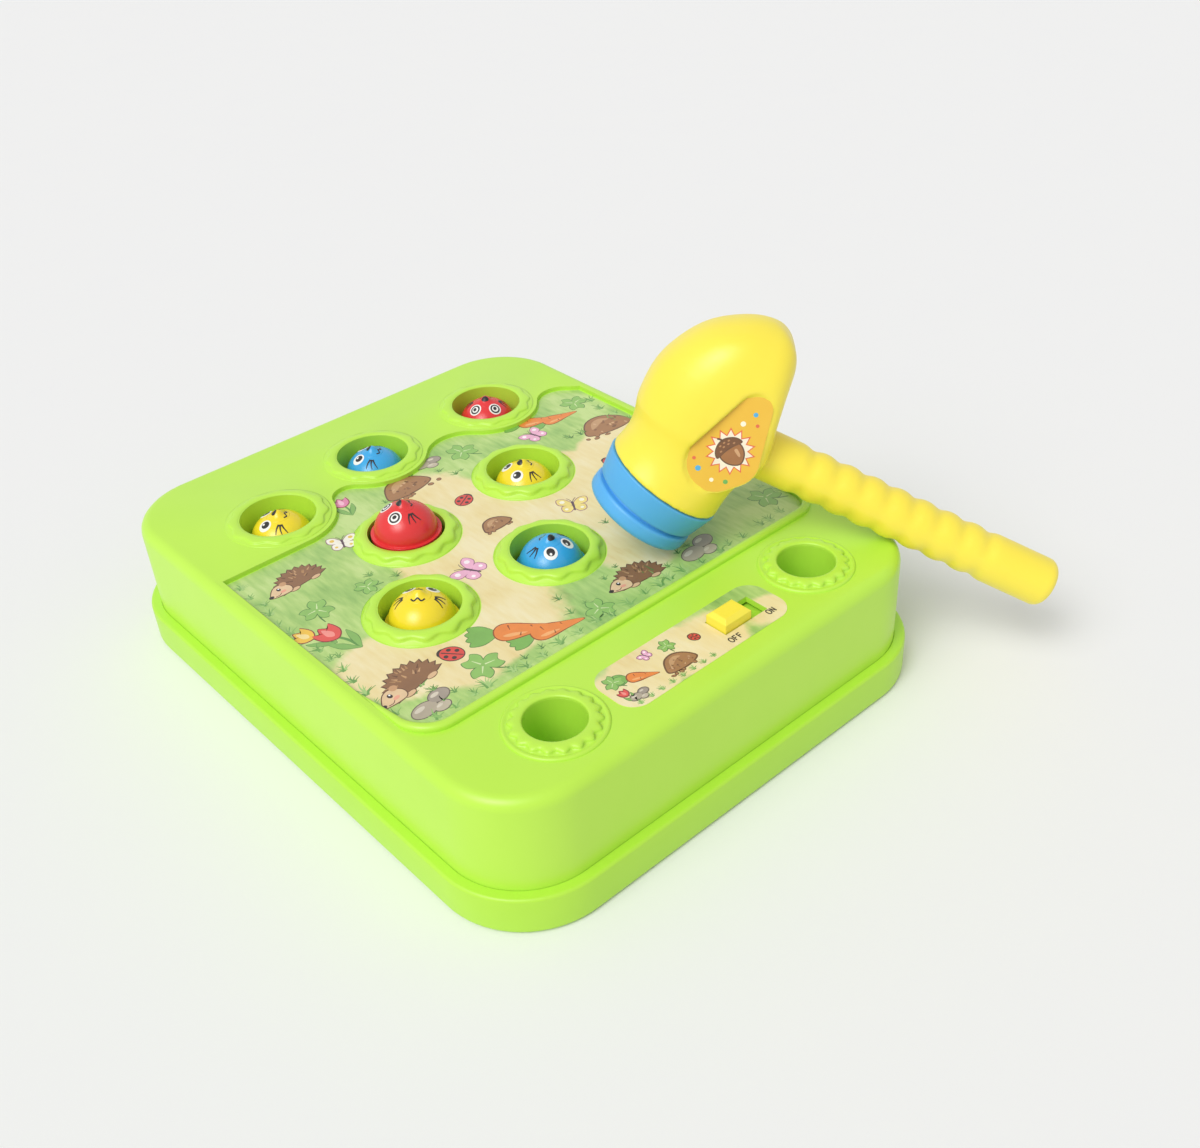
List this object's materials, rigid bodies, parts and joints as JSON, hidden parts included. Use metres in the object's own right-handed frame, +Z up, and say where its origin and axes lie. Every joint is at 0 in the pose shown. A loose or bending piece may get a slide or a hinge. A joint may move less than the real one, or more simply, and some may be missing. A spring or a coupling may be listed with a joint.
{
  "type": "whack-a-mole game",
  "caption": "Board game with domed moles that rise from round wells, a switch, hammer pockets and a loose toy hammer lying across the board.",
  "frame": {"origin": "centre of the base tray's bottom face, which rests on the surface", "axes": "+Z up out of the board, +Y to the back, -Y to the front with the switch, +X to the right of a player at the front"},
  "size_m": [0.2578, 0.3057, 0.1469],
  "materials": {
    "green_abs": "satin moulded",
    "printed_sheet": "printed film",
    "white_abs": "moulded",
    "steel": "plated",
    "cell_jacket": "wrapped",
    "black_plastic": "moulded",
    "yellow_plastic": "satin moulded",
    "blue_soft": "satin moulded",
    "mole_yellow": "gloss moulded",
    "mole_blue": "gloss moulded",
    "mole_red": "gloss moulded"
  },
  "bodies": {
    "base": {"base_tray": "green_abs", "top_shell": "green_abs", "play_sheet": "printed_sheet", "switch_sheet": "printed_sheet", "guide_deck": "black_plastic", "case_screws": "steel", "small_screws": "steel", "battery_door": "green_abs", "battery_cells": "cell_jacket", "battery_contacts": "steel", "switch_body": "green_abs", "motor_can": "steel", "motor_cradle": "white_abs", "idler_axle": "steel", "cam_screw": "steel"},
    "switch": {"switch_knob": "yellow_plastic"},
    "cam": {"cam_plate": "white_abs"},
    "idler": {"idler_gear": "white_abs"},
    "rotor": {"motor_shaft": "steel", "motor_pinion": "white_abs"},
    "mole_1": {"mole_1_dome": "mole_yellow", "mole_1_plunger": "white_abs"},
    "mole_2": {"mole_2_dome": "mole_blue", "mole_2_plunger": "white_abs"},
    "mole_3": {"mole_3_dome": "mole_red", "mole_3_plunger": "white_abs"},
    "mole_4": {"mole_4_dome": "mole_red", "mole_4_plunger": "white_abs"},
    "mole_5": {"mole_5_dome": "mole_yellow", "mole_5_plunger": "white_abs"},
    "mole_6": {"mole_6_dome": "mole_blue", "mole_6_plunger": "white_abs"},
    "mole_7": {"mole_7_dome": "mole_yellow", "mole_7_plunger": "white_abs"},
    "mole_8": {"mole_8_dome": "mole_blue", "mole_8_plunger": "white_abs"},
    "hammer": {"hammer_head": "yellow_plastic", "hammer_handle": "yellow_plastic", "hammer_cap": "blue_soft", "hammer_sheet_left": "printed_sheet", "hammer_sheet_right": "printed_sheet"}
  },
  "joints": [
    {"name": "knob_slide", "type": "slide", "parent": "base", "child": "switch", "axis": [1, 0, 0], "range_m": [0, 0.008]},
    {"name": "cam_spin", "type": "hinge", "parent": "base", "child": "cam", "pos_m": [0, 0.028, 0.01], "axis": [0, 0, 1], "continuous": true},
    {"name": "idler_spin", "type": "hinge", "parent": "base", "child": "idler", "pos_m": [-0.05822, -0.04651, 0.008], "axis": [0, 0, 1], "continuous": true},
    {"name": "motor_spin", "type": "hinge", "parent": "base", "child": "rotor", "pos_m": [-0.07707, -0.05337, 0.01], "axis": [0, 0, 1], "continuous": true},
    {"name": "mole_1_slide", "type": "slide", "parent": "base", "child": "mole_1", "axis": [0, 0, 1], "range_m": [-0.0005, 0.012]},
    {"name": "mole_2_slide", "type": "slide", "parent": "base", "child": "mole_2", "axis": [0, 0, 1], "range_m": [-0.0015, 0.011]},
    {"name": "mole_3_slide", "type": "slide", "parent": "base", "child": "mole_3", "axis": [0, 0, 1], "range_m": [-0.0015, 0.011]},
    {"name": "mole_4_slide", "type": "slide", "parent": "base", "child": "mole_4", "axis": [0, 0, 1], "range_m": [-0.012, 0.0005]},
    {"name": "mole_5_slide", "type": "slide", "parent": "base", "child": "mole_5", "axis": [0, 0, 1], "range_m": [-0.0015, 0.011]},
    {"name": "mole_6_slide", "type": "slide", "parent": "base", "child": "mole_6", "axis": [0, 0, 1], "range_m": [-0.0035, 0.009]},
    {"name": "mole_7_slide", "type": "slide", "parent": "base", "child": "mole_7", "axis": [0, 0, 1], "range_m": [-0.0047, 0.0078]},
    {"name": "mole_8_slide", "type": "slide", "parent": "base", "child": "mole_8", "axis": [0, 0, 1], "range_m": [0, 0.0125]},
    {"name": "hammer_lift", "type": "slide", "parent": "base", "child": "hammer", "axis": [0, 0, 1], "range_m": [0, 0.15]}
  ],
  "couplings": [
    {"joint": "idler_spin", "follows": "cam_spin", "ratio": -11.6},
    {"joint": "motor_spin", "follows": "cam_spin", "ratio": 46.4}
  ]
}
